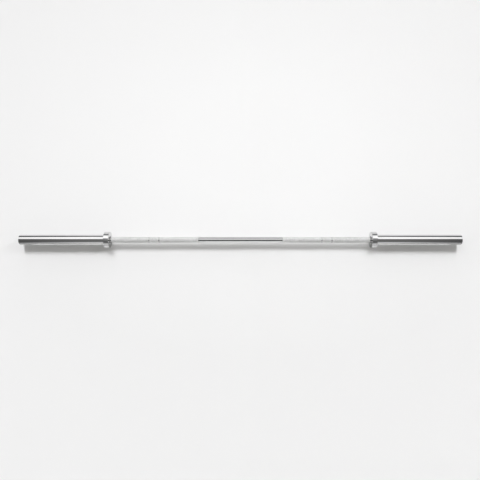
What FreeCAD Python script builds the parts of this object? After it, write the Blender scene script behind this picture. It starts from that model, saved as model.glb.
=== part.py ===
import FreeCAD, Part
import math
import os

# Barbell with two free-spinning sleeves, in millimetres.
# +X runs along the bar, +Z is up, and the origin is on the bar's axis at mid-length.
# The right-hand end is modelled, and half a turn about Z makes the left-hand end.

# Whole bar
bar_length = 2200.0
collar_spacing = 1300.0

# Shaft: one round rod with knurled grips, ring marks and turned-down journals
shaft_diameter = 28.0
journal_step = 1.5
smooth_centre_length = 420.0
inner_mark_spacing = 810.0
outer_mark_spacing = 910.0
mark_width = 5.0
grip_end_gap = 7.0
knurl_height = 0.15
shoulder_setback = 1.0
shoulder_chamfer = 0.5
shaft_end_length = 4.0
shaft_end_chamfer = 1.0
shaft_end_gap = 4.0
centre_hole_diameter = 8.0
centre_hole_angle = 60.0

# Sleeve: thick tube that carries the plates
sleeve_diameter = 50.0
sleeve_end_chamfer = 1.5
sleeve_mouth_chamfer = 0.8
main_bore_diameter = 29.5
seal_seat_step = 2.0
washer_room_step = 1.7
cap_seat_step = 1.3

# Collar: ring shrunk on the sleeve against its flange
collar_diameter = 80.0
collar_width = 26.0
collar_inner_chamfer = 0.6
collar_outer_chamfer = 0.6
collar_seat_step = 1.0
flange_step = 2.0
flange_width = 4.0

# Dust seal and the plain ring that keeps it in the collar end
seal_recess = 2.0
seal_width = 4.0
seal_wall = 1.2
seal_lip_thickness = 1.0
seal_lip_rise = 0.8
seal_lip_setback = 0.3
seal_lip_clearance = 0.1
seal_ring_thickness = 1.5
seal_ring_width = 2.4
seal_ring_gap = 5.0
seal_ring_groove_depth = 1.0

# Needle bearings: drawn cup, cage and needles, two at each end of each sleeve
bearings_per_end = 2
needle_count = 18
needle_diameter = 2.46
needle_length = 15.8
needle_clearance = 0.02
window_clearance = 0.05
window_end_clearance = 0.1
cage_thickness = 1.5
cage_rim = 0.8
cage_end_clearance = 0.2
cup_wall = 1.0
cup_corner_chamfer = 0.6
cup_lip_height = 1.6

# Thrust washers on the journal
washer_thickness = 2.5
washer_chamfer = 0.3
washer_bore_clearance = 0.1
washer_rim_clearance = 0.3
end_float = 0.3

# Snap ring in the journal's end groove
shaft_ring_thickness = 1.2
shaft_ring_width = 2.4
shaft_ring_eccentricity = 0.5
shaft_ring_gap = 3.0
shaft_ring_lug_diameter = 4.6
shaft_ring_hole_diameter = 2.0
shaft_ring_groove_depth = 0.55

# End cap and the snap ring in front of it
cap_thickness = 8.0
cap_chamfer = 0.6
cap_dish_diameter = 22.0
cap_dish_depth = 1.2
cap_pocket_diameter = 26.0
cap_pocket_depth = 4.0
cap_ring_recess = 4.5
cap_ring_thickness = 1.5
cap_ring_width = 2.8
cap_ring_eccentricity = 0.6
cap_ring_gap = 6.0
cap_ring_lug_diameter = 5.4
cap_ring_hole_diameter = 2.5
cap_ring_groove_depth = 1.25

# Room on each side of a snap ring in its groove, and how far a cut runs past what it cuts
groove_clearance = 0.05
cut_overrun = 1.0

# Radii that follow from the sizes above
shaft_radius = shaft_diameter / 2
grip_radius = shaft_radius + knurl_height
journal_radius = shaft_radius - journal_step
shaft_groove_radius = journal_radius - shaft_ring_groove_depth
needle_radius = needle_diameter / 2
needle_circle_radius = journal_radius + needle_clearance + needle_radius
raceway_radius = needle_circle_radius + needle_radius + needle_clearance
cup_radius = raceway_radius + cup_wall
cage_inner_radius = needle_circle_radius - cage_thickness / 2
cage_outer_radius = needle_circle_radius + cage_thickness / 2
seal_seat_radius = cup_radius + seal_seat_step
seal_groove_radius = seal_seat_radius + seal_ring_groove_depth
washer_room_radius = cup_radius + washer_room_step
cap_radius = washer_room_radius + cap_seat_step
cap_groove_radius = cap_radius + cap_ring_groove_depth
main_bore_radius = main_bore_diameter / 2
sleeve_radius = sleeve_diameter / 2
collar_radius = collar_diameter / 2
collar_seat_radius = sleeve_radius + collar_seat_step
flange_radius = collar_seat_radius + flange_step
centre_hole_radius = centre_hole_diameter / 2
centre_hole_depth = centre_hole_radius / math.tan(math.radians(centre_hole_angle / 2))

# Widths of the bearing pieces, from the needles outwards
cage_width = needle_length + 2 * (window_end_clearance + cage_rim)
cup_width = cage_width + 2 * (cage_end_clearance + cup_wall)
bearing_stack = bearings_per_end * cup_width

# Places along the axis at the collar end
collar_face = collar_spacing / 2
collar_back = collar_face + collar_width
seal_groove_start = collar_face + seal_recess
seal_ring_start = seal_groove_start + groove_clearance
seal_front = seal_ring_start + seal_ring_thickness + groove_clearance
seal_floor = seal_front + seal_width
shoulder = seal_floor + shoulder_setback
inner_stack_start = shoulder + washer_thickness + end_float
inner_stack_end = inner_stack_start + bearing_stack

# Places along the axis at the outer end
sleeve_end = bar_length / 2
cap_groove_end = sleeve_end - cap_ring_recess
cap_ring_start = cap_groove_end - groove_clearance - cap_ring_thickness
cap_front = cap_ring_start - groove_clearance
cap_seat = cap_front - cap_thickness
shaft_end = cap_seat - shaft_end_gap
shaft_groove_end = shaft_end - shaft_end_length
shaft_ring_start = shaft_groove_end - groove_clearance - shaft_ring_thickness
shaft_groove_start = shaft_ring_start - groove_clearance
outer_washer_start = shaft_groove_start - washer_thickness
outer_stack_end = outer_washer_start - end_float
outer_stack_start = outer_stack_end - bearing_stack

# Knurled stretches on one half of the shaft, between the smooth centre, the marks and the collar
inner_mark = inner_mark_spacing / 2
outer_mark = outer_mark_spacing / 2
grip_spans = [
    (smooth_centre_length / 2, inner_mark - mark_width / 2),
    (inner_mark + mark_width / 2, outer_mark - mark_width / 2),
    (outer_mark + mark_width / 2, collar_face - grip_end_gap),
]

bar_middle = FreeCAD.Vector(0, 0, 0)
along_bar = FreeCAD.Vector(1, 0, 0)
upwards = FreeCAD.Vector(0, 0, 1)
full_turn = 360
half_turn = 180


def turned(outline):
    """Solid turned about the bar's axis from an outline of (place along X, radius) points."""
    points = [FreeCAD.Vector(x, 0, radius) for x, radius in outline]
    section = Part.Face(Part.makePolygon(points + points[:1]))
    return section.revolve(bar_middle, along_bar, full_turn)


def disc(start, thickness, radius, side=0, height=0):
    """Flat disc square to the axis, with its centre moved along Y and Z."""
    return Part.makeCylinder(radius, thickness, FreeCAD.Vector(start, side, height), along_bar)


def shaft():
    """Rod with raised knurl bands, a shoulder, a journal, a ring groove and a lathe centre at each end."""
    half = []
    for start, end in grip_spans:
        half += [
            (start, shaft_radius),
            (start + knurl_height, grip_radius),
            (end - knurl_height, grip_radius),
            (end, shaft_radius),
        ]
    half += [
        (shoulder - shoulder_chamfer, shaft_radius),
        (shoulder, shaft_radius - shoulder_chamfer),
        (shoulder, journal_radius),
        (shaft_groove_start, journal_radius),
        (shaft_groove_start, shaft_groove_radius),
        (shaft_groove_end, shaft_groove_radius),
        (shaft_groove_end, journal_radius),
        (shaft_end - shaft_end_chamfer, journal_radius),
        (shaft_end, journal_radius - shaft_end_chamfer),
        (shaft_end, centre_hole_radius),
        (shaft_end - centre_hole_depth, 0),
    ]
    other_half = [(-x, radius) for x, radius in reversed(half)]
    return turned(other_half + half)


def sleeve():
    """Tube with a flange for the collar, a bearing seat at each end, and recesses for the seal and the cap."""
    outside = [
        (collar_face, flange_radius),
        (collar_face + flange_width, flange_radius),
        (collar_face + flange_width, collar_seat_radius),
        (collar_back, collar_seat_radius),
        (collar_back, sleeve_radius),
        (sleeve_end - sleeve_end_chamfer, sleeve_radius),
        (sleeve_end, sleeve_radius - sleeve_end_chamfer),
    ]
    outer_recess = [
        (sleeve_end, cap_radius + sleeve_mouth_chamfer),
        (sleeve_end - sleeve_mouth_chamfer, cap_radius),
        (cap_groove_end, cap_radius),
        (cap_groove_end, cap_groove_radius),
        (cap_front, cap_groove_radius),
        (cap_front, cap_radius),
        (cap_seat, cap_radius),
        (cap_seat, washer_room_radius),
        (outer_stack_end, washer_room_radius),
    ]
    bearing_seats = [
        (outer_stack_end, cup_radius),
        (outer_stack_start, cup_radius),
        (outer_stack_start, main_bore_radius),
        (inner_stack_end, main_bore_radius),
        (inner_stack_end, cup_radius),
        (seal_floor, cup_radius),
    ]
    inner_recess = [
        (seal_floor, seal_seat_radius),
        (seal_front, seal_seat_radius),
        (seal_front, seal_groove_radius),
        (seal_groove_start, seal_groove_radius),
        (seal_groove_start, seal_seat_radius),
        (collar_face + sleeve_mouth_chamfer, seal_seat_radius),
        (collar_face, seal_seat_radius + sleeve_mouth_chamfer),
    ]
    return turned(outside + outer_recess + bearing_seats + inner_recess)


def collar():
    """Ring that stops the plates, counterbored to sit over the sleeve's flange."""
    return turned([
        (collar_face, flange_radius),
        (collar_face, collar_radius - collar_inner_chamfer),
        (collar_face + collar_inner_chamfer, collar_radius),
        (collar_back - collar_outer_chamfer, collar_radius),
        (collar_back, collar_radius - collar_outer_chamfer),
        (collar_back, collar_seat_radius),
        (collar_face + flange_width, collar_seat_radius),
        (collar_face + flange_width, flange_radius),
    ])


def dust_seal():
    """Rubber ring with a trough open to the bar's middle and a lip that leans on the shaft."""
    lip_radius = shaft_radius + seal_lip_clearance
    lip_root_radius = lip_radius + seal_lip_rise
    lip_front = seal_front + seal_lip_setback
    return turned([
        (seal_front, seal_seat_radius),
        (seal_floor, seal_seat_radius),
        (seal_floor, lip_root_radius),
        (lip_front, lip_radius),
        (lip_front, lip_radius + seal_lip_thickness),
        (seal_floor - seal_wall, lip_root_radius + seal_lip_thickness),
        (seal_floor - seal_wall, seal_seat_radius - seal_wall),
        (seal_front, seal_seat_radius - seal_wall),
    ])


def washer(start, rim_radius):
    """Flat thrust washer on the journal, with its rim's edges broken."""
    bore_radius = journal_radius + washer_bore_clearance
    end = start + washer_thickness
    return turned([
        (start, bore_radius),
        (start, rim_radius - washer_chamfer),
        (start + washer_chamfer, rim_radius),
        (end - washer_chamfer, rim_radius),
        (end, rim_radius - washer_chamfer),
        (end, bore_radius),
    ])


def bearing_cup(start):
    """Thin drawn cup pressed into the sleeve, turned in at both ends to keep the cage."""
    end = start + cup_width
    lip_radius = raceway_radius - cup_lip_height
    return turned([
        (start, lip_radius),
        (start, cup_radius - cup_corner_chamfer),
        (start + cup_corner_chamfer, cup_radius),
        (end - cup_corner_chamfer, cup_radius),
        (end, cup_radius - cup_corner_chamfer),
        (end, lip_radius),
        (end - cup_wall, lip_radius),
        (end - cup_wall, raceway_radius),
        (start + cup_wall, raceway_radius),
        (start + cup_wall, lip_radius),
    ])


def around(piece):
    """Copies of a piece, one for each needle of a bearing."""
    step = full_turn / needle_count
    copies = []
    for index in range(needle_count):
        copy = piece.copy()
        copy.rotate(bar_middle, along_bar, index * step)
        copies.append(copy)
    return copies


def bearing_cage(start):
    """Ring with one window for each needle."""
    cage_start = start + cup_wall + cage_end_clearance
    ring = disc(cage_start, cage_width, cage_outer_radius)
    ring = ring.cut(disc(cage_start, cage_width, cage_inner_radius))
    window_width = needle_diameter + 2 * window_clearance
    window = Part.makeBox(
        needle_length + 2 * window_end_clearance,
        window_width,
        cage_thickness + 2 * cut_overrun,
        FreeCAD.Vector(cage_start + cage_rim, -window_width / 2, cage_inner_radius - cut_overrun),
    )
    return ring.cut(around(window))


def bearing_needles(start):
    """Set of loose needles, one in each window of the cage."""
    needle_start = start + (cup_width - needle_length) / 2
    needle = disc(needle_start, needle_length, needle_radius, height=needle_circle_radius)
    return Part.makeCompound(around(needle))


def snap_ring(start, thickness, inner, outer, gap):
    """Flat ring between two discs given as (radius, height of centre), split at the top."""
    inner_radius, inner_height = inner
    outer_radius, outer_height = outer
    ring = disc(start, thickness, outer_radius, height=outer_height)
    ring = ring.cut(disc(start, thickness, inner_radius, height=inner_height))
    split = Part.makeBox(thickness, gap, 2 * outer_radius, FreeCAD.Vector(start, -gap / 2, 0))
    return ring.cut(split)


def with_lugs(ring, start, thickness, gap, lug_diameter, hole_diameter, lug_circle_radius):
    """Snap ring with a round lug at each side of its split, drilled for the pliers."""
    side = (gap + lug_diameter) / 2
    height = math.sqrt(lug_circle_radius ** 2 - side ** 2)
    for lug_side in (-side, side):
        ring = ring.fuse(disc(start, thickness, lug_diameter / 2, lug_side, height))
    for lug_side in (-side, side):
        ring = ring.cut(disc(start, thickness, hole_diameter / 2, lug_side, height))
    return ring.removeSplitter()


def seal_snap_ring():
    """Plain split ring that keeps the seal in the collar end."""
    return snap_ring(
        seal_ring_start,
        seal_ring_thickness,
        (seal_groove_radius - seal_ring_width, 0),
        (seal_groove_radius, 0),
        seal_ring_gap,
    )


def shaft_snap_ring():
    """Ring sprung into the journal's groove, deepest opposite its split, with lugs standing out."""
    ring = snap_ring(
        shaft_ring_start,
        shaft_ring_thickness,
        (shaft_groove_radius, 0),
        (shaft_groove_radius + shaft_ring_width, -shaft_ring_eccentricity),
        shaft_ring_gap,
    )
    lug_circle_radius = shaft_groove_radius + shaft_ring_lug_diameter / 2
    return with_lugs(
        ring,
        shaft_ring_start,
        shaft_ring_thickness,
        shaft_ring_gap,
        shaft_ring_lug_diameter,
        shaft_ring_hole_diameter,
        lug_circle_radius,
    )


def end_cap():
    """Plug seated on the sleeve's step, dished outside and hollowed inside."""
    pocket_floor = cap_seat + cap_pocket_depth
    pocket_radius = cap_pocket_diameter / 2
    dish_radius = cap_dish_diameter / 2
    return turned([
        (pocket_floor, 0),
        (pocket_floor, pocket_radius),
        (cap_seat, pocket_radius),
        (cap_seat, cap_radius),
        (cap_front - cap_chamfer, cap_radius),
        (cap_front, cap_radius - cap_chamfer),
        (cap_front, dish_radius),
        (cap_front - cap_dish_depth, dish_radius - cap_dish_depth),
        (cap_front - cap_dish_depth, 0),
    ])


def cap_snap_ring():
    """Ring sprung into the sleeve's end groove, deepest opposite its split, with lugs standing in."""
    ring = snap_ring(
        cap_ring_start,
        cap_ring_thickness,
        (cap_groove_radius - cap_ring_width, cap_ring_eccentricity),
        (cap_groove_radius, 0),
        cap_ring_gap,
    )
    lug_circle_radius = cap_groove_radius - cap_ring_lug_diameter / 2
    return with_lugs(
        ring,
        cap_ring_start,
        cap_ring_thickness,
        cap_ring_gap,
        cap_ring_lug_diameter,
        cap_ring_hole_diameter,
        lug_circle_radius,
    )


def right_end():
    """Every piece on the right-hand end of the shaft, by name."""
    pieces = {
        "sleeve": sleeve(),
        "collar": collar(),
        "dust_seal": dust_seal(),
        "collar_snap_ring": seal_snap_ring(),
        "inner_thrust_washer": washer(shoulder, cup_radius - washer_rim_clearance),
        "outer_thrust_washer": washer(outer_washer_start, washer_room_radius - washer_rim_clearance),
        "shaft_snap_ring": shaft_snap_ring(),
        "end_cap": end_cap(),
        "end_cap_snap_ring": cap_snap_ring(),
    }
    bearing_starts = [
        stack_start + index * cup_width
        for stack_start in (inner_stack_start, outer_stack_start)
        for index in range(bearings_per_end)
    ]
    for number, start in enumerate(bearing_starts, 1):
        pieces[f"bearing_cup_{number}"] = bearing_cup(start)
        pieces[f"bearing_cage_{number}"] = bearing_cage(start)
        pieces[f"bearing_needles_{number}"] = bearing_needles(start)
    return pieces


os.makedirs("parts", exist_ok=True)
shaft().exportStep("parts/shaft.step")
for piece_name, piece in right_end().items():
    piece.exportStep(f"parts/right_{piece_name}.step")
    opposite = piece.copy()
    opposite.rotate(bar_middle, upwards, half_turn)
    opposite.exportStep(f"parts/left_{piece_name}.step")
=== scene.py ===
import math

import bpy
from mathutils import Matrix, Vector


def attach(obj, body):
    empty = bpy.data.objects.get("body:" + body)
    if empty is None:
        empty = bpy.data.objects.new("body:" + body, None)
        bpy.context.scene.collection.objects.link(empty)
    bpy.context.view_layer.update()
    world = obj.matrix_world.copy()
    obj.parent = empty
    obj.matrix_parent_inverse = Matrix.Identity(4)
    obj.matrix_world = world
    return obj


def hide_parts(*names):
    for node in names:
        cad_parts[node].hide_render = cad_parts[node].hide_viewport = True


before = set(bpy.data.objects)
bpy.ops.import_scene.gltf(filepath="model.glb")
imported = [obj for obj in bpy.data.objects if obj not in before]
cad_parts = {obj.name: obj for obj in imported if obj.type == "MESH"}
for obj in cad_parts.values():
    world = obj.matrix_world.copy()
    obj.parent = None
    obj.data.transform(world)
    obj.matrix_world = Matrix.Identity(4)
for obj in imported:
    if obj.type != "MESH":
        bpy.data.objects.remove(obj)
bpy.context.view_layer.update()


# Shaft: one long rod of spring steel, ground round and satin chromed. Diamond knurling is rolled into both
# grips, with two plain ring marks left in each. The ends are turned down to journals, each with a groove for
# a snap ring and a lathe centre.
mm = 0.001
sides = {"left": -1, "right": 1}
shaft_radius = 14.0
shoulder = 658.6
shoulder_chamfer = 0.5
journal_radius = 12.5
groove_start = 1076.6
groove_end = 1077.9
groove_radius = 11.95
shaft_end = 1081.9
shaft_chamfer = 1.0
centre_radius = 4.0
centre_depth = 6.93
shaft_edge = 0.2
shaft_half = [
    (shoulder - shoulder_chamfer, shaft_radius), (shoulder, shaft_radius - shoulder_chamfer),
    (shoulder, journal_radius), (groove_start, journal_radius), (groove_start, groove_radius),
    (groove_end, groove_radius), (groove_end, journal_radius), (shaft_end - shaft_chamfer, journal_radius),
    (shaft_end, journal_radius - shaft_chamfer), (shaft_end, centre_radius), (shaft_end - centre_depth, 0.0),
]
grip_spans = [(210.0, 402.5), (407.5, 452.5), (457.5, 643.0)]
knurl_crest = 14.15
knurl_valley = 13.97
diamond_length = 2.5
diamonds_around = 60


def eased(outline, edge, sign=1):
    """Rows of (point, outward normal, no knurl) along an outline of (X, radius) in mm, turned over in X where
    the sign is -1. Each corner becomes an arc with the edge's radius, or less where the sides are short."""
    steps = 4
    longest_share = 0.4
    least_bend = 0.001
    corners = [Vector((sign * x, radius)) for x, radius in outline]
    area = sum(a.cross(b) for a, b in zip(corners, corners[1:] + corners[:1]))
    if area < 0:
        corners.reverse()
    rows = []
    for before, corner, after in zip(corners[-1:] + corners[:-1], corners, corners[1:] + corners[:1]):
        arriving = corner - before
        leaving = after - corner
        if corner.y == 0:
            run = (leaving if after.y else arriving).normalized()
            rows.append((corner, Vector((run.y, -run.x)), 0))
            continue
        outward = Vector((arriving.y, -arriving.x)).normalized()
        bend = math.atan2(arriving.cross(leaving), arriving.dot(leaving))
        if abs(bend) < least_bend:
            rows.append((corner, outward, 0))
            continue
        longest = longest_share * min(arriving.length, leaving.length)
        reach = min(edge * abs(math.tan(bend / 2)), longest)
        start = corner - arriving.normalized() * reach
        arc = reach / math.tan(bend / 2)
        for step in range(steps + 1):
            angle = bend * step / steps
            normal = Vector((
                outward.x * math.cos(angle) - outward.y * math.sin(angle),
                outward.x * math.sin(angle) + outward.y * math.cos(angle),
            ))
            rows.append((start - outward * arc + normal * arc, normal, 0))
    return rows


def turned(name, rows, around=160):
    """Piece turned about the bar's axis from rows of (point, normal, knurl height), all in mm."""
    turns = [2 * math.pi * k / around for k in range(around)]
    spokes = [(math.cos(turn), math.sin(turn)) for turn in turns]
    points, rings = [], []
    for point, _, height in rows:
        count = around if point.y else 1
        rings.append([len(points) + k % count for k in range(around + 1)])
        for k in range(count):
            reach = point.y + (-height if k % 2 else height)
            points.append((point.x * mm, reach * spokes[k][0] * mm, reach * spokes[k][1] * mm))
    pairs = list(zip(range(len(rows)), [*range(1, len(rows)), 0]))
    if rows[0][0].y == 0:
        pairs.pop()
    faces, normals, knurled = [], [], []
    for i, j in pairs:
        height = rows[i][2] or -rows[j][2]
        for k in range(around):
            a, b, c, d = (i, k), (j, k), (j, k + 1), (i, k + 1)
            if not height:
                cuts = [(a, b, c, d)]
            elif (height > 0) == (k % 2 == 1):
                cuts = [(a, b, c), (a, c, d)]
            else:
                cuts = [(a, b, d), (b, c, d)]
            for cut in cuts:
                face = {rings[row][spoke]: (row, spoke) for row, spoke in cut}
                faces.append(list(face))
                knurled.append(bool(height))
                for row, spoke in face.values():
                    normal = rows[row][1]
                    cosine, sine = spokes[spoke % around]
                    normals.append((0, 0, 0) if height else (normal.x, normal.y * cosine, normal.y * sine))
    mesh = bpy.data.meshes.new(name)
    mesh.from_pydata(points, [], faces)
    mesh.polygons.foreach_set("use_smooth", [not k for k in knurled])
    mesh.polygons.foreach_set("material_index", [int(k) for k in knurled])
    mesh.normals_split_custom_set(normals)
    piece = bpy.data.objects.new(name, mesh)
    bpy.context.scene.collection.objects.link(piece)
    return piece


knurl_middle = (knurl_crest + knurl_valley) / 2
knurl_height = (knurl_crest - knurl_valley) / 2
outwards = Vector((0, 1))
grip_rows = []
for sign in sides.values():
    for start, end in grip_spans:
        count = round(2 * (end - start) / diamond_length)
        for step in range(count + 1):
            x = sign * (start + (end - start) * step / count)
            if step in (0, count):
                grip_rows.append((Vector((x, shaft_radius)), outwards, 0))
            else:
                grip_rows.append((Vector((x, knurl_middle)), outwards, knurl_height * (-1) ** step))
grip_rows.sort(key=lambda row: -row[0].x)
end_rows = eased([(-x, radius) for x, radius in reversed(shaft_half)] + shaft_half, shaft_edge)
right_rows = [row for row in end_rows if row[0].x > 0]
left_rows = [row for row in end_rows if row[0].x < 0]
shaft = turned("shaft_rod", right_rows + grip_rows + left_rows, 2 * diamonds_around)


class Wire:
    """One socket among a finish's nodes. Arithmetic on it adds Math nodes."""

    def __init__(self, tree, socket=None):
        self.tree = tree
        self.socket = socket

    def node(self, kind, settings=None, sockets=None, output=0):
        """New node of this kind, given its settings first and then its sockets. Gives one of its outputs."""
        made = self.tree.nodes.new("ShaderNode" + kind)
        for name, value in (settings or {}).items():
            if name == "stops":
                ramp = made.color_ramp.elements
                while len(ramp) < len(value):
                    ramp.new(1)
                for stop, (position, colour) in zip(ramp, value):
                    stop.position = position
                    stop.color = (*colour, 1)
            else:
                setattr(made, name, value)
        for name, value in (sockets or {}).items():
            if isinstance(value, Wire):
                self.tree.links.new(value.socket, made.inputs[name])
            else:
                made.inputs[name].default_value = value
        return Wire(self.tree, made.outputs[output] if made.outputs else None)

    def out(self, name):
        """Another output of the same node."""
        return Wire(self.tree, self.socket.node.outputs[name])

    def maths(self, operation, *others):
        """Math node with this value first."""
        return self.node("Math", {"operation": operation}, dict(enumerate((self, *others))))

    def __add__(self, other):
        return self.maths("ADD", other)

    def __sub__(self, other):
        return self.maths("SUBTRACT", other)

    def __rsub__(self, other):
        return self.maths("MULTIPLY_ADD", -1.0, other)

    def __mul__(self, other):
        return self.maths("MULTIPLY", other)

    __radd__ = __add__
    __rmul__ = __mul__

    def between(self, nought, one):
        """0 at the first value and past it, 1 at the second and past it, and a straight run between them."""
        return self.node("MapRange", {"clamp": True}, {0: self, 1: nought, 2: one})

    def colour(self, low, high):
        """Colour that goes from one to the other as this value goes from 0 to 1."""
        low, high = (c if isinstance(c, Wire) else (*c, 1) for c in (low, high))
        return self.node("Mix", {"data_type": "RGBA"}, {0: self, 6: low, 7: high}, 2)

    def grain(self, stretch, detail=2.0):
        """Noise over the piece's own space, with a frequency per metre along X, Y and Z."""
        place = self.node("TexCoord", output="Object")
        place = self.node("VectorMath", {"operation": "MULTIPLY"}, {0: place, 1: stretch})
        return self.node("TexNoise", sockets={"Vector": place, "Scale": 1.0, "Detail": detail})

    def radius(self):
        """Distance from the bar's axis, in metres."""
        place = self.node("TexCoord", output="Object")
        place = self.node("VectorMath", {"operation": "MULTIPLY"}, {0: place, 1: (0, 1, 1)})
        return self.node("VectorMath", {"operation": "LENGTH"}, {0: place}, "Value")

    def relief(self, height, depth, strength=1.0):
        """Surface normal bent by a height that runs from 0 to 1 over this depth in metres."""
        return self.node("Bump", sockets={"Strength": strength, "Distance": depth, "Height": height})

    def metal(self, base, roughness, normal, share=1.0):
        """Finish of bare or plated metal, with less than a full share where the skin scatters light."""
        shader = self.node("BsdfPrincipled", sockets={
            "Base Color": base, "Metallic": share, "Roughness": roughness, "Normal": normal,
        })
        self.node("OutputMaterial", sockets={"Surface": shader})


def new_finish(name):
    """Empty material, and the wire that its nodes start from."""
    material = bpy.data.materials.new(name)
    material.use_nodes = True
    material.node_tree.nodes.clear()
    return material, Wire(material.node_tree)


dull_satin = (0.66, 0.66, 0.655)
clear_satin = (0.76, 0.76, 0.755)
satin_chrome, wire = new_finish("satin_chrome")
grinding = wire.grain((5200, 70, 70))
haze = wire.grain((16, 60, 60), 4.0)
wire.metal(
    haze.colour(dull_satin, clear_satin),
    0.06 + haze * 0.06 + grinding * 0.06,
    wire.relief(grinding, 0.01 * mm),
)
shaft.data.materials.append(satin_chrome)

# The knurl's colour is painted lighter on the crests and darker down in the valleys, a painted shade in the
# hollows, with handling marks over it.
valley_chrome_painted_shade = (0.6, 0.6, 0.595)
crest_chrome = (0.88, 0.88, 0.875)
knurl_chrome, wire = new_finish("knurl_chrome")
crest = wire.radius().between(knurl_valley * mm, knurl_crest * mm)
handling = wire.grain((30, 90, 90), 4.0)
wire.metal(
    (crest * 0.8 + handling * 0.3).colour(valley_chrome_painted_shade, crest_chrome),
    0.3 - crest * 0.1 + handling * 0.08,
    wire.relief(wire.grain((2600, 2600, 2600)), 0.02 * mm),
    0.5 + crest * 0.3,
)
shaft.data.materials.append(knurl_chrome)
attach(shaft, "bar")
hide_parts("shaft")


# Thrust washers: rings of sintered bronze that float on the journals, one against the shoulder and one
# against the outer bearing. They are pressed from powder, and the oil in their pores stains the faces.
oiled_bronze = (0.34, 0.21, 0.09)
clean_bronze = (0.66, 0.46, 0.22)
worn_start = 13.0
worn_end = 15.0
bronze, wire = new_finish("sintered_bronze")
powder = wire.grain((4200, 4200, 4200), 3.0)
clean = wire.grain((90, 90, 90), 3.0)
worn_ring = wire.radius().between(worn_start * mm, worn_end * mm)
wire.metal(
    (clean * 0.7 + powder * 0.4).colour(oiled_bronze, clean_bronze),
    0.28 + powder * 0.2 + worn_ring * 0.08,
    wire.relief(powder, 0.03 * mm, 0.5),
)
for side in sides:
    for end in ("inner", "outer"):
        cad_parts[f"{side}_{end}_thrust_washer"].material_slots[0].material = bronze


# Needle bearings: four on each side, two at each end of the sleeve. Each has a drawn cup that is pressed into
# the sleeve, a punched cage, and hardened needles that are ground round and polished.
warm_steel = (0.5, 0.49, 0.47)
bright_steel = (0.63, 0.63, 0.64)
bearing_steel, wire = new_finish("bearing_steel")
grinding = wire.grain((3800, 160, 160))
tint = wire.grain((60, 60, 60), 3.0)
wire.metal(
    tint.colour(warm_steel, bright_steel),
    0.12 + grinding * 0.1 + tint * 0.06,
    wire.relief(grinding, 0.008 * mm),
)
oily_steel = (0.28, 0.27, 0.26)
dry_steel = (0.46, 0.46, 0.47)
cage_steel, wire = new_finish("cage_steel")
rolling = wire.grain((240, 1900, 1900))
dry = wire.grain((130, 130, 130), 3.0)
wire.metal(
    dry.colour(oily_steel, dry_steel),
    0.24 + dry * 0.16 + rolling * 0.08,
    wire.relief(rolling, 0.01 * mm),
)
bearing_finishes = {"cup": bearing_steel, "needles": bearing_steel, "cage": cage_steel}
for side in sides:
    for number in (1, 2, 3, 4):
        for kind, finish in bearing_finishes.items():
            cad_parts[f"{side}_bearing_{kind}_{number}"].material_slots[0].material = finish


# Sleeves: thick steel tubes with a flange, bored for the bearings at both ends and for the seal and the cap,
# then hard chromed. Plates slide on and off, which leaves faint scuffs over the fine turning lines.
flange_start = 650.0
flange_end = 654.0
flange_radius = 28.0
collar_seat_radius = 26.0
collar_end = 676.0
sleeve_radius = 25.0
sleeve_end = 1100.0
sleeve_chamfer = 1.5
mouth_chamfer = 0.8
mouth_radius = 19.0
cap_step = 1085.9
cap_groove_start = 1093.9
cap_groove_end = 1095.5
cap_groove_radius = 20.25
ring_room_start = 1073.8
ring_room_radius = 17.7
bearing_bore_radius = 16.0
main_bore_start = 701.4
main_bore_end = 1033.8
main_bore_radius = 14.75
seal_step = 657.6
seal_radius = 18.0
seal_groove_start = 652.0
seal_groove_end = 653.6
seal_groove_radius = 19.0
sleeve_edge = 0.3
sleeve_outline = [
    (flange_start, flange_radius), (flange_end, flange_radius), (flange_end, collar_seat_radius),
    (collar_end, collar_seat_radius), (collar_end, sleeve_radius),
    (sleeve_end - sleeve_chamfer, sleeve_radius), (sleeve_end, sleeve_radius - sleeve_chamfer),
    (sleeve_end, mouth_radius + mouth_chamfer), (sleeve_end - mouth_chamfer, mouth_radius),
    (cap_groove_end, mouth_radius), (cap_groove_end, cap_groove_radius),
    (cap_groove_start, cap_groove_radius), (cap_groove_start, mouth_radius),
    (cap_step, mouth_radius), (cap_step, ring_room_radius),
    (ring_room_start, ring_room_radius), (ring_room_start, bearing_bore_radius),
    (main_bore_end, bearing_bore_radius), (main_bore_end, main_bore_radius),
    (main_bore_start, main_bore_radius), (main_bore_start, bearing_bore_radius),
    (seal_step, bearing_bore_radius), (seal_step, seal_radius),
    (seal_groove_end, seal_radius), (seal_groove_end, seal_groove_radius),
    (seal_groove_start, seal_groove_radius), (seal_groove_start, seal_radius),
    (flange_start + mouth_chamfer, seal_radius), (flange_start, seal_radius + mouth_chamfer),
]
hazed_chrome = (0.68, 0.68, 0.68)
clear_chrome = (0.75, 0.75, 0.75)
sleeve_chrome, wire = new_finish("sleeve_chrome")
turning = wire.grain((4600, 50, 50))
scuffs = wire.grain((7, 900, 900), 3.0).between(0.6, 0.72)
haze = wire.grain((20, 70, 70), 4.0)
wire.metal(
    (haze * 0.8 + scuffs * 0.2).colour(hazed_chrome, clear_chrome),
    0.05 + haze * 0.05 + turning * 0.03 + scuffs * 0.06,
    wire.relief(turning * 0.6 + scuffs * 0.4, 0.004 * mm),
)
for side, sign in sides.items():
    sleeve = turned(f"{side}_sleeve_tube", eased(sleeve_outline, sleeve_edge, sign))
    sleeve.data.materials.append(sleeve_chrome)
    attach(sleeve, f"{side}_sleeve")
    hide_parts(f"{side}_sleeve")


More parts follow.
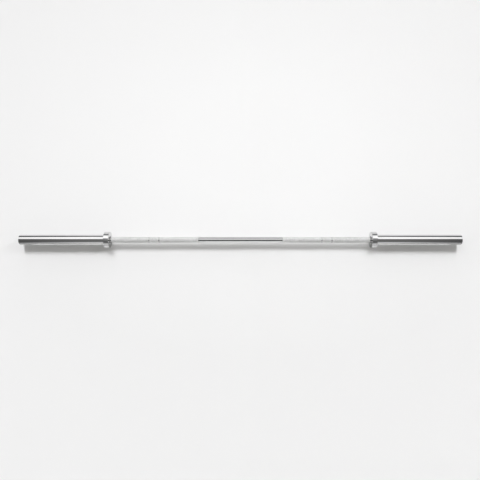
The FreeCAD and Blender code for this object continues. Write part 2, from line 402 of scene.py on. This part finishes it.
# Collars: heavy steel rings turned from bar, chromed like the sleeves and shrunk on against their flanges.
# Their edges are broken with a small chamfer, and the flat faces keep rings from the lathe tool.
collar_radius = 40.0
collar_chamfer = 0.6
collar_edge = 0.4
collar_outline = [
    (flange_start, flange_radius), (flange_start, collar_radius - collar_chamfer),
    (flange_start + collar_chamfer, collar_radius), (collar_end - collar_chamfer, collar_radius),
    (collar_end, collar_radius - collar_chamfer), (collar_end, collar_seat_radius),
    (flange_end, collar_seat_radius), (flange_end, flange_radius),
]
collar_feed = 0.4488
collar_chrome, wire = new_finish("collar_chrome")
turning = wire.grain((4600, 50, 50))
facing = (wire.radius() * (2 * math.pi / (collar_feed * mm))).maths("SINE")
haze = wire.grain((50, 50, 50), 4.0)
wire.metal(
    haze.colour(hazed_chrome, clear_chrome),
    0.05 + haze * 0.05 + turning * 0.03 + facing * 0.01,
    wire.relief(turning * 0.7 + facing * 0.15, 0.004 * mm),
)
collars = []
for side, sign in sides.items():
    collar = turned(f"{side}_collar_ring", eased(collar_outline, collar_edge, sign))
    collar.data.materials.append(collar_chrome)
    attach(collar, f"{side}_sleeve")
    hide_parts(f"{side}_collar")
    collars.append(collar)


# Dust seals: black nitrile rings with a soft lip on the shaft, pushed into the collar end of each sleeve.
# Rubber from the mould is matt with a fine grain, and picks up pale dust.
clean_rubber = (0.012, 0.012, 0.013)
dusty_rubber = (0.07, 0.068, 0.064)
rubber, wire = new_finish("black_rubber")
grain = wire.grain((2400, 2400, 2400), 3.0)
dust = wire.grain((260, 260, 260), 4.0).between(0.52, 0.78)
shader = wire.node("BsdfPrincipled", sockets={
    "Base Color": (dust * 0.6 + grain * 0.2).colour(clean_rubber, dusty_rubber),
    "Roughness": 0.5 + grain * 0.15 + dust * 0.2,
    "Normal": wire.relief(grain, 0.04 * mm, 0.5),
})
wire.node("OutputMaterial", sockets={"Surface": shader})
for side in sides:
    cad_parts[f"{side}_dust_seal"].material_slots[0].material = rubber


# Snap rings: flat rings punched from spring steel and left with a dark phosphate coat. One keeps the seal,
# one the bearings and one the end cap, each sprung into its own groove.
phosphate = (0.08, 0.08, 0.085)
rubbed_steel = (0.27, 0.27, 0.28)
spring_steel, wire = new_finish("spring_steel")
crystals = wire.grain((1800, 1800, 1800), 4.0)
rubbed = wire.grain((140, 140, 140), 3.0).between(0.45, 0.75)
wire.metal(
    (crystals * 0.5 + rubbed * 0.6).colour(phosphate, rubbed_steel),
    0.46 - rubbed * 0.16 + crystals * 0.12,
    wire.relief(crystals, 0.02 * mm, 0.6),
)
for side in sides:
    for ring in ("collar_snap_ring", "shaft_snap_ring", "end_cap_snap_ring"):
        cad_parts[f"{side}_{ring}"].material_slots[0].material = spring_steel


# End caps: plugs turned from aluminium bar, with a shallow dish outside and a pocket behind. Each sits on a
# step in the sleeve's mouth, and its faces keep the fine rings of the lathe tool.
cap_chamfer = 0.6
cap_edge = 0.2
cap_facets = 120
pocket_floor = 1089.9
pocket_radius = 13.0
dish_radius = 11.0
dish_depth = 1.2
cap_outline = [
    (pocket_floor, 0.0), (pocket_floor, pocket_radius), (cap_step, pocket_radius), (cap_step, mouth_radius),
    (cap_groove_start - cap_chamfer, mouth_radius), (cap_groove_start, mouth_radius - cap_chamfer),
    (cap_groove_start, dish_radius), (cap_groove_start - dish_depth, dish_radius - dish_depth),
    (cap_groove_start - dish_depth, 0.0),
]
dull_aluminium = (0.6, 0.61, 0.62)
clear_aluminium = (0.72, 0.73, 0.74)
cap_feed = 0.2856
turned_aluminium, wire = new_finish("turned_aluminium")
facing = (wire.radius() * (2 * math.pi / (cap_feed * mm))).maths("SINE")
haze = wire.grain((120, 120, 120), 3.0)
wire.metal(
    haze.colour(dull_aluminium, clear_aluminium),
    0.22 + haze * 0.1 + facing * 0.03,
    wire.relief(0.5 + facing * 0.5, 0.01 * mm),
)
for side, sign in sides.items():
    cap = turned(f"{side}_cap_plug", eased(cap_outline, cap_edge, sign), cap_facets)
    cap.data.materials.append(turned_aluminium)
    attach(cap, f"{side}_sleeve")
    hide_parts(f"{side}_end_cap")


# Floor: a plain pale sweep in two halves, which the bar lies on with its two collars. Its colour is painted a
# little darker away from the bar, a painted falloff of the light. Mirrors see painted darker and lighter
# patches
# on it: painted shade and one painted glow, which only the chrome's reflections show.
def grey(level):
    """Colour with no tint."""
    return (level, level, level)


floor_height = -collar_radius * mm
floor_reach = 40.0
painted_light_middle = (0.1, 0.5, floor_height)
painted_light_stretch = (0.7, 1, 1)
pale, wire = new_finish("pale_floor")
place = wire.node("TexCoord", output="Object")
from_middle = wire.node("VectorMath", {"operation": "SUBTRACT"}, {0: place, 1: painted_light_middle})
from_middle = wire.node("VectorMath", {"operation": "MULTIPLY"}, {0: from_middle, 1: painted_light_stretch})
away = wire.node("VectorMath", {"operation": "LENGTH"}, {0: from_middle}, "Value")
# Painted falloff of light: the floor's colour is paler round the bar and darker further off.
tone = away.between(0.3, 1.1).colour(grey(0.92), grey(0.855))

# The patches that only mirrors see, painted shade and painted glow in the chrome's reflections, each by its
# edges along and across the bar in metres.
floor_x = wire.node("SeparateXYZ", sockets={0: place})
along = floor_x.maths("ABSOLUTE")
across = floor_x.out("Y")
off_axis = across.maths("ABSOLUTE")
glossy = wire.node("LightPath", output="Is Glossy Ray")
in_mirrors = glossy * glossy.out("Diffuse Depth").between(1.0, 0.0)
near_side = in_mirrors * across.between(0.0, -0.01)
far_side = in_mirrors * across.between(0.0, 0.01)
far_off = along.between(0.75, 1.1) * off_axis.between(0.2, 0.6)
by_grips = along.between(0.2, 0.26) * along.between(0.63, 0.61) * off_axis.between(0.6, 0.3)
by_grip_ends = by_grips * along.between(0.42, 0.56)
by_collars = along.between(0.61, 0.63) * along.between(0.68, 0.66)
by_bar_ends = along.between(1.055, 1.075)
close_by = across.between(-0.16, -0.1)
by_sleeves = along.between(0.68, 0.7) * along.between(1.07, 1.05)
under_sleeves = by_sleeves * across.between(-0.02, -0.03) * across.between(-0.08, -0.06)
# Painted shade for mirrors only: the floor is darker in the chrome's reflections far out past the ends, close
# to the grips, and close by the collars and the bar's ends, as if in shadow.
tone = (in_mirrors * far_off).colour(tone, grey(0.1))
tone = (near_side * by_grips).colour(tone, by_grip_ends.colour(grey(0.3), grey(0.05)))
tone = (far_side * by_grip_ends).colour(tone, grey(0.4))
tone = (near_side * (by_bar_ends + by_collars) * close_by).colour(tone, grey(0.55))
# Painted glow for mirrors only: the floor under the sleeves glows in their reflections, a painted highlight
# over their shadow.
painted_mirror_glow = (in_mirrors * under_sleeves).colour(grey(0.0), grey(0.4))
shader = wire.node("BsdfPrincipled", sockets={
    "Base Color": tone, "Roughness": 1.0, "Specular IOR Level": 0.0,
    "Emission Color": painted_mirror_glow, "Emission Strength": 1.0,
})
wire.node("OutputMaterial", sockets={"Surface": shader})

floors = {}
for side, sign in sides.items():
    low, high = sorted((0, sign * floor_reach))
    corners = [(low, -floor_reach), (high, -floor_reach), (high, floor_reach), (low, floor_reach)]
    floor_mesh = bpy.data.meshes.new(f"{side}_floor")
    floor_mesh.from_pydata([(*corner, floor_height) for corner in corners], [], [(0, 1, 2, 3)])
    floor_mesh.materials.append(pale)
    floors[side] = bpy.data.objects.new(f"{side}_floor", floor_mesh)
    bpy.context.scene.collection.objects.link(floors[side])


# Light: soft studio lamps behind and above the bar, three pairs of keys for each half of the floor and one
# key for the bar alone. Fills lift the shadows, a thin strip stands for the light that the chrome throws
# on the floor, and the room is pale near the floor and dark overhead.
lamp_tint = (0.985, 0.985, 1.0)


def group(name, pieces, state):
    """Pieces that a lamp is told to take in or to leave out."""
    told = bpy.data.collections.new(name)
    for index, piece in enumerate(pieces):
        told.objects.link(piece)
        told.collection_objects[index].light_linking.link_state = state
    return told


def lamp(name, towards, strength, softness, onto=None, past=None):
    """Far lamp in this direction, with its softness in degrees. It can be told what to light and whose shadow
    to leave out."""
    light = bpy.data.lights.new(name, "SUN")
    light.energy = strength
    light.angle = math.radians(softness)
    light.color = lamp_tint
    held = bpy.data.objects.new(name, light)
    held.rotation_mode = "QUATERNION"
    held.rotation_quaternion = Vector(towards).to_track_quat("Z", "Y")
    held.visible_glossy = False
    held.light_linking.receiver_collection = onto
    held.light_linking.blocker_collection = past
    bpy.context.scene.collection.objects.link(held)


past_both = group("past_both", [shaft, *collars], "EXCLUDE")
past_collars = group("past_collars", collars, "EXCLUDE")
off_floor = group("off_floor", floors.values(), "EXCLUDE")
key_softness = 6
key_lean = {"left": 1.0, "right": 0.965}
key_slopes_and_strengths = [(0.73, 0.506), (0.86, 0.528), (1.02, 0.446)]
key_share = 0.42
key_aside = 0.2
soft_key_aside = 0.05
keys = [("key", key_aside, key_share, None), ("soft_key", soft_key_aside, 1 - key_share, past_collars)]
for side, sign in sides.items():
    own_floor = group(f"{side}_half", [floors[side]], "INCLUDE")
    for number, (slope, on_floor) in enumerate(key_slopes_and_strengths, 1):
        for kind, aside, share, past in keys:
            towards = Vector((sign * aside, slope * key_lean[side], 1))
            strength = on_floor * share * towards.length
            lamp(f"{side}_{kind}_{number}", towards, strength, key_softness, own_floor, past)
    from_far_end = (-sign * 1.5, 0.85, 1)
    lamp(f"{side}_far_fill", from_far_end, strength=0.5, softness=10, onto=own_floor, past=past_collars)
lamp("bar_key", towards=(0, 0.3, 1), strength=2.6, softness=14, onto=off_floor)
lamp("broad_key", towards=(0, 0.87, 1), strength=0.25, softness=44, past=past_both)
lamp("low_fill", towards=(0, 2.2, 1), strength=0.6, softness=40, past=past_collars)

light = bpy.data.lights.new("chrome_glow", "AREA")
light.shape = "RECTANGLE"
light.size = 1.29
light.size_y = 0.004
light.energy = 0.006
strip = bpy.data.objects.new("chrome_glow", light)
strip.location = (0, -0.0215, -0.034)
strip.visible_camera = False
strip.visible_glossy = False
bpy.context.scene.collection.objects.link(strip)

room_tint = (1.0, 0.995, 0.965)
room_levels = [(0.0, 0.9), (0.2, 0.64), (0.45, 0.36), (1.0, 0.27)]
world = bpy.data.worlds.new("room")
bpy.context.scene.world = world
world.use_nodes = True
world.node_tree.nodes.clear()
wire = Wire(world.node_tree)
look = wire.node("TexCoord", output="Generated")
overhead = wire.node("SeparateXYZ", sockets={0: look}, output="Z")
room_stops = [(height, [level * part for part in room_tint]) for height, level in room_levels]
room = wire.node("ValToRGB", {"stops": room_stops}, {0: overhead})
backdrop = wire.node("Background", sockets={"Color": room, "Strength": 1.0})
wire.node("OutputWorld", sockets={"Surface": backdrop})


# Screen: a curved glowing sheet over the bar that only mirrors show, a painted reflection of a studio for the
# chrome. Its glow is a long bright band on its far side above a dim gap, dark overhead and on the near side,
# and paler low on the near side, where it fades towards the ends.
screen_radius = 3.2
screen_reach = 14.0
screen_edge = 91.0
screen_steps = 60
screen_strength = 1.7
screen_angles = [math.radians(screen_edge * (2 * k / screen_steps - 1)) for k in range(screen_steps + 1)]
screen_points = [
    (x, screen_radius * math.sin(angle), screen_radius * math.cos(angle))
    for angle in screen_angles for x in (-screen_reach, screen_reach)
]
screen_faces = [(2 * k, 2 * k + 1, 2 * k + 3, 2 * k + 2) for k in range(screen_steps)]
screen_mesh = bpy.data.meshes.new("screen")
screen_mesh.from_pydata(screen_points, [], screen_faces)
screen = bpy.data.objects.new("screen", screen_mesh)
bpy.context.scene.collection.objects.link(screen)

painted_reflection_sheet, wire = new_finish("painted_reflection_sheet")
screen_x = wire.node("SeparateXYZ", sockets={0: wire.node("TexCoord", output="Object")})
along = screen_x.maths("ABSOLUTE")
round_bar = screen_x.out("Y").maths("ARCTAN2", screen_x.out("Z"))
round_bar = round_bar.between(-math.radians(screen_edge), math.radians(screen_edge))
seen_directly = wire.node("LightPath", output="Diffuse Depth").between(1.0, 0.0)


def sheet_glow(levels):
    """Brightness round the sheet, from (degrees from straight up towards the far side, radiance)."""
    stops = [
        ((degrees + screen_edge) / (2 * screen_edge), grey(radiance / screen_strength))
        for degrees, radiance in levels
    ]
    return wire.node("ValToRGB", {"stops": stops}, {0: round_bar})


over_centre = [
    (-91, 0.94), (-57, 0.94), (-53, 0.03), (-9, 0.03), (-6, 0.86), (64, 0.82), (66, 0.26), (91, 0.26),
]
over_grips = [
    (-91, 0.94), (-57, 0.94), (-53, 0.03), (-9, 0.03), (-6, 0.86), (20, 0.92), (45, 1.2), (64, 1.2),
    (66, 0.4), (91, 0.4),
]
over_grip_ends = [
    (-91, 0.25), (-47, 0.2), (-30, 0.2), (-12, 0.5), (3, 1.7), (20, 1.7), (62, 1.7), (66, 0.25), (91, 0.22),
]
over_collars = [
    (-91, 0.6), (-72, 0.66), (-56, 0.62), (-47, 0.2), (-25, 0.12), (4, 0.24), (20, 0.28), (23.5, 1.38),
    (62, 1.38), (64, 0.3), (91, 0.26),
]
over_sleeves = [
    (-91, 0.6), (-72, 0.66), (-56, 0.66), (-49, 0.16), (-25, 0.14), (4, 0.26), (18, 0.3), (21.5, 1.5),
    (63, 1.5), (65, 0.24), (91, 0.2),
]
over_ends = [
    (-91, 0.1), (-77, 0.2), (-47, 0.08), (-30, 0.08), (0, 0.14), (17, 0.14), (20, 1.25), (64, 1.25),
    (66, 0.02), (91, 0.04),
]
# Distance from the middle of the sheet in metres, and the painted glow there, set for the part of the bar
# that mirrors it.
bands = [
    (0.53, over_centre), (0.62, over_grips), (1.1, over_grips), (1.25, over_grip_ends),
    (1.46, over_collars), (1.75, over_sleeves), (2.6, over_ends),
]
glow = sheet_glow(over_centre)
for (reach, _), (next_reach, levels) in zip(bands, bands[1:]):
    glow = along.between(reach, next_reach).colour(glow, sheet_glow(levels))
glow = seen_directly.colour(grey(0.0), glow)
shader = wire.node("BsdfPrincipled", sockets={
    "Base Color": (0, 0, 0, 1), "Roughness": 1.0, "Specular IOR Level": 0.0,
    "Emission Color": glow, "Emission Strength": screen_strength,
})
wire.node("OutputMaterial", sockets={"Surface": shader})
screen_mesh.materials.append(painted_reflection_sheet)
screen.visible_camera = False
screen.visible_diffuse = False
screen.visible_shadow = False


# Camera: above the middle of the bar and looking straight down on it, with a lens that takes in the whole
# length and a little floor past both ends.
camera = bpy.data.cameras.new("camera")
camera.sensor_width = 36.0
camera.lens = 36.8
eye = bpy.data.objects.new("camera", camera)
eye.location = (-0.00225, -0.00115, 2.45)
bpy.context.scene.collection.objects.link(eye)
bpy.context.scene.camera = eye
bpy.context.scene.view_settings.view_transform = "Standard"
